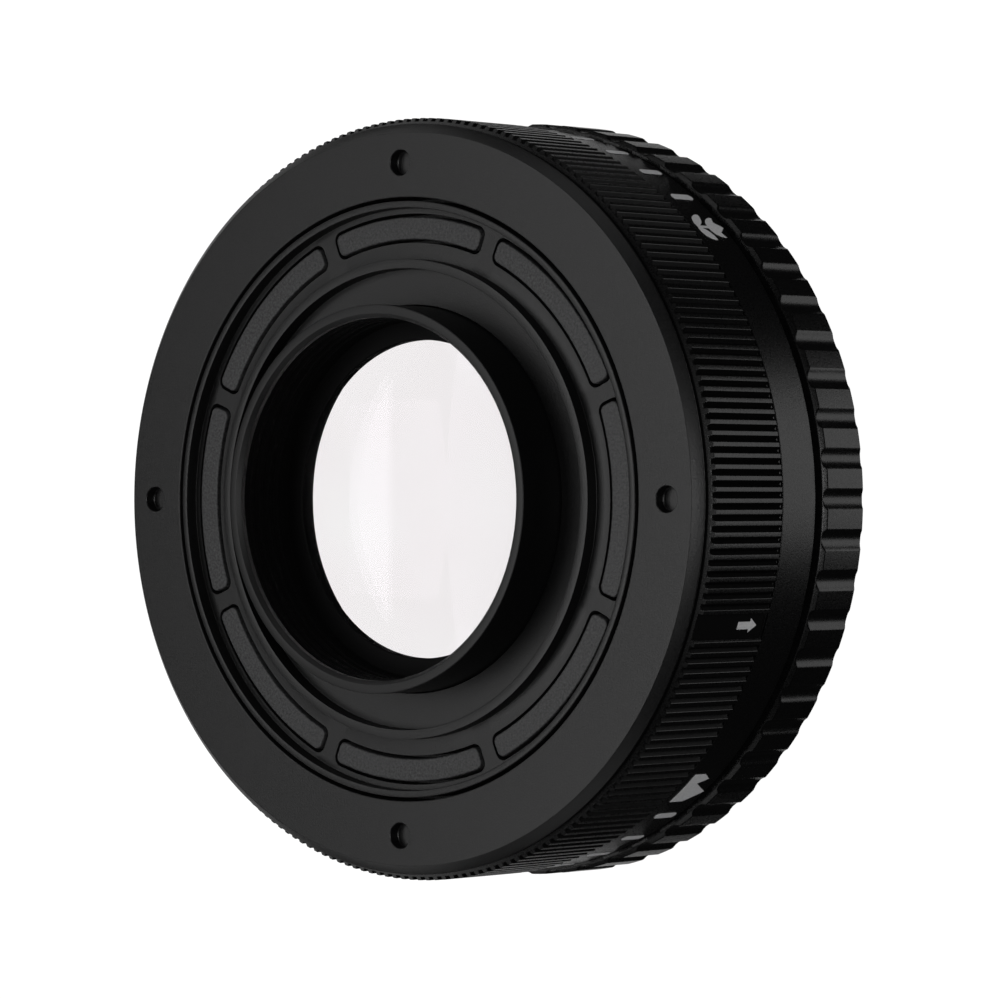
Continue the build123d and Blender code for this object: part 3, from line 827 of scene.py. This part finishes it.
def laid_flat(point, turn, radius, z):
    """Place on a flat patch of a point of paint, whose third value is its height above the patch."""
    out = Vector((math.cos(turn), math.sin(turn), 0)) * (radius + point.z)
    side = Vector((math.sin(turn), -math.cos(turn), 0)) * point.x
    return out + side + Vector((0, 0, z - point.y))


def marked(name, points, angle, z, surface_r, placed=wrapped):
    """Thin paint from a flat outline, x clockwise and y to the front rim, cut fine enough to bend."""
    bm = bmesh.new()
    bm.faces.new([bm.verts.new((x, y, 0)) for x, y in points])
    reach = max(abs(v.co.x) for v in bm.verts)
    steps = max(2, int(reach / 0.12))
    for k in range(-steps, steps + 1):
        geometry = bm.verts[:] + bm.edges[:] + bm.faces[:]
        place = (k * reach / (steps + 0.5), 0, 0)
        bmesh.ops.bisect_plane(bm, geom=geometry, plane_co=place, plane_no=(1, 0, 0))
    made = bmesh.ops.extrude_face_region(bm, geom=bm.faces[:])
    for element in made["geom"]:
        if isinstance(element, bmesh.types.BMVert):
            element.co.z += PAINT_DEPTH
    turn = math.radians(angle)
    for v in bm.verts:
        v.co = placed(v.co, turn, surface_r + PAINT_LIFT, z) * MM
    bmesh.ops.recalc_face_normals(bm, faces=bm.faces[:])
    mesh = bpy.data.meshes.new(name)
    bm.to_mesh(mesh)
    bm.free()
    return linked(name, mesh)


def joined(name, objects):
    bm = bmesh.new()
    for obj in objects:
        bm.from_mesh(obj.data)
        bpy.data.objects.remove(obj, do_unlink=True)
    mesh = bpy.data.meshes.new(name)
    bm.to_mesh(mesh)
    bm.free()
    return linked(name, mesh)


def arc(a, b, c, steps=10):
    """Points on the circle through three points, from a to c."""
    ax, ay, bx, by, cx, cy = *a, *b, *c
    a_square, b_square, c_square = ax**2 + ay**2, bx**2 + by**2, cx**2 + cy**2
    d = 2 * (ax * (by - cy) + bx * (cy - ay) + cx * (ay - by))
    ux = (a_square * (by - cy) + b_square * (cy - ay) + c_square * (ay - by)) / d
    uy = (a_square * (cx - bx) + b_square * (ax - cx) + c_square * (bx - ax)) / d
    radius = math.hypot(ax - ux, ay - uy)
    start = math.atan2(ay - uy, ax - ux)
    middle = math.atan2(by - uy, bx - ux)
    end = math.atan2(cy - uy, cx - ux)
    turn = (end - start) % (2 * math.pi)
    if (middle - start) % (2 * math.pi) > turn:
        turn -= 2 * math.pi
    places = [start + turn * k / steps for k in range(steps + 1)]
    return [(ux + radius * math.cos(p), uy + radius * math.sin(p)) for p in places]


def scale_dashes():
    """Dashes with round ends, in even steps from the flower round to the mountains."""
    half_width, half_straight, end_steps = 0.30, 0.85, 8
    dash = []
    for way, first in ((1, 0), (-1, math.pi)):
        for k in range(end_steps + 1):
            a = math.pi * k / end_steps + first
            dash.append((half_width * math.cos(a), way * half_straight + half_width * math.sin(a)))
    pitch = (360 + MOUNTAIN_ANGLE - FLOWER_ANGLE) / (TICK_COUNT + 1)
    angles = [FLOWER_ANGLE + k * pitch for k in range(1, TICK_COUNT + 1)]
    dashes = joined("scale_dashes", [marked("tick", dash, a, MARKS_Z, BAND_R) for a in angles])
    dress(smooth(dashes, 40.0, False), "scale_ticks", FOCUS, white)


def mountains():
    w, h = 1.5, 1.435
    peaks = [
        (-w, -h), (w, -h), (w, 0), (0.30 * w, h), (-0.35 * w, -0.24 * h), (-0.66 * w, 0.40 * h),
        (-w, -0.16 * h),
    ]
    obj = marked("mountain_paint", peaks, MOUNTAIN_ANGLE, MARKS_Z, BAND_R)
    dress(smooth(obj, 40.0, False), "mountain_mark", FOCUS, white)


def flower():
    """Tulip of a bloom, two leaves and a stem, drawn between -1 and 1 and then stretched."""
    half_width, half_height = 1.30, 1.47
    bloom = arc((0.76, 0.66), (0, -0.20), (-0.76, 0.66), 20)[:-1]
    bloom += [(-0.76, 0.66), (-0.40, 0.50), (0, 1), (0.40, 0.50)]
    leaf = arc((0, -1), (0.72, -0.86), (0.98, -0.20)) + arc((0.98, -0.20), (0.42, -0.38), (0, -1))[1:-1]
    other_leaf = [(-x, y) for x, y in reversed(leaf)]
    stem = [(-0.08, -1), (0.08, -1), (0.08, -0.10), (-0.08, -0.10)]
    parts = []
    for outline in (bloom, leaf, other_leaf, stem):
        stretched = [(x * half_width, y * half_height) for x, y in outline]
        parts.append(marked("flower_part", stretched, FLOWER_ANGLE, MARKS_Z, BAND_R))
    dress(smooth(joined("flower_paint", parts), 40.0, False), "flower_mark", FOCUS, white)


def index_arrow():
    shaft, head, neck, tip = 0.27, 0.51, 1.33, 2.10
    points = [(-shaft, 0), (shaft, 0), (shaft, neck), (head, neck), (0, tip), (-head, neck), (-shaft, neck)]
    obj = marked("arrow_paint", points, INDEX_ANGLE, ARROW_Z, PATCH_R, laid_flat)
    dress(smooth(obj, 40.0, False), "index_arrow", OUTER, white)


scale_dashes()
mountains()
flower()
index_arrow()

# CAD nodes that are shown as they are
carried = {
    "stop_pin": steel, "guide_pin_1": steel, "guide_pin_2": steel, "guide_pin_3": steel,
    "focus_retainer": turned_black, "light_baffle": inner_black,
}
for node, material in carried.items():
    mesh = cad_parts[node].data
    mesh.materials.clear()
    mesh.materials.append(material)


# Floor and background

def pale_floor():
    """Plain floor, white to the camera and slightly dimmer through the glass."""
    half = 4.0
    corners = [(-half, -half, 0), (half, -half, 0), (half, half, 0), (-half, half, 0)]
    mesh = bpy.data.meshes.new("floor")
    mesh.from_pydata(corners, [], [(0, 1, 2, 3)])
    floor = linked("floor", mesh)
    floor.location.z = -0.00002
    # The studio's light reaches the part from below too, as it hangs free in the photograph
    floor.visible_diffuse = False
    floor.visible_glossy = False
    floor.visible_shadow = False
    material, nodes, links, shader = new_material("pale floor")
    nodes.remove(shader)
    matt = nodes.new("ShaderNodeBsdfDiffuse")
    matt.inputs["Color"].default_value = (0.10, 0.10, 0.10, 1)
    shown = nodes.new("ShaderNodeAddShader")
    links.new(emission(nodes, 1.0), shown.inputs[0])
    links.new(matt.outputs[0], shown.inputs[1])
    rays = nodes.new("ShaderNodeLightPath")
    pick = nodes.new("ShaderNodeMixShader")
    links.new(rays.outputs["Is Camera Ray"], pick.inputs[0])
    links.new(emission(nodes, 0.92), pick.inputs[1])
    links.new(shown.outputs[0], pick.inputs[2])
    links.new(pick.outputs[0], nodes["Material Output"].inputs["Surface"])
    mesh.materials.append(material)


def white_world():
    """Background that is white to the camera and gives the part almost no light."""
    world = bpy.data.worlds.new("studio")
    bpy.context.scene.world = world
    world.use_nodes = True
    nodes, links = world.node_tree.nodes, world.node_tree.links
    ambient = nodes["Background"]
    ambient.inputs["Color"].default_value = (1, 1, 1, 1)
    ambient.inputs["Strength"].default_value = 0.015
    backdrop = nodes.new("ShaderNodeBackground")
    backdrop.inputs["Color"].default_value = (1, 1, 1, 1)
    backdrop.inputs["Strength"].default_value = 1.0
    rays = nodes.new("ShaderNodeLightPath")
    pick = nodes.new("ShaderNodeMixShader")
    links.new(rays.outputs["Is Camera Ray"], pick.inputs[0])
    links.new(ambient.outputs[0], pick.inputs[1])
    links.new(backdrop.outputs[0], pick.inputs[2])
    links.new(pick.outputs[0], nodes["World Output"].inputs["Surface"])


pale_floor()
white_world()

# Camera axes at the photograph's angle, with the photograph's top as +Y
tilt = math.radians(39.609)
right = Vector((math.cos(tilt), 0, -math.sin(tilt)))
up = Vector((0, 1, 0))
back = Vector((math.sin(tilt), 0, math.cos(tilt)))


# Soft studio lights

def softbox(name, direction, distance, size, size_y, radiance):
    """Light aimed at the middle of the part. Its direction is given as right, up and towards the camera."""
    light = bpy.data.lights.new(name, "AREA")
    light.shape = "RECTANGLE"
    light.size = size
    light.size_y = size_y
    light.energy = radiance * size * size_y * math.pi
    away = (right * direction[0] + up * direction[1] + back * direction[2]).normalized()
    side = up.cross(away).normalized()
    aim = Vector((0, 0, 0.012))
    turned = Matrix((side, away.cross(side), away)).transposed().to_4x4()
    linked(name, light).matrix_world = Matrix.Translation(away * distance + aim) @ turned


softbox("left softbox", (-0.87, 0.0, 0.47), 0.55, 0.30, 0.44, 4.2)
softbox("right strip", (0.975, 0.11, -0.19), 0.55, 0.40, 0.29, 1.45)
softbox("front light", (0.11, 0.0, 0.99), 0.55, 0.15, 0.15, 10.0)
softbox("front fill", (-0.05, 0.0, 1.0), 0.65, 0.60, 0.60, 0.42)
softbox("top softbox", (-0.15, 0.93, 0.34), 0.55, 0.30, 0.24, 1.1)
softbox("low softbox", (-0.15, -0.93, 0.34), 0.55, 0.30, 0.24, 1.1)
softbox("far top softbox", (-0.68, 0.69, -0.22), 0.55, 0.34, 0.30, 1.3)
softbox("far low softbox", (-0.68, -0.69, -0.22), 0.55, 0.34, 0.30, 1.3)
softbox("back card", (-0.16, 0.02, -0.98), 0.50, 0.56, 0.54, 0.60)

# Camera
camera_place = (0.230851, -0.0000256, 0.286337)
camera_data = bpy.data.cameras.new("camera")
camera_data.lens = 182.07
camera_data.sensor_width = 36.0
camera_data.sensor_fit = "HORIZONTAL"
camera_data.clip_start = 0.01
camera = linked("camera", camera_data)
camera.matrix_world = Matrix.Translation(camera_place) @ Matrix((right, up, back)).transposed().to_4x4()
bpy.context.scene.camera = camera
bpy.context.scene.view_settings.view_transform = "Standard"
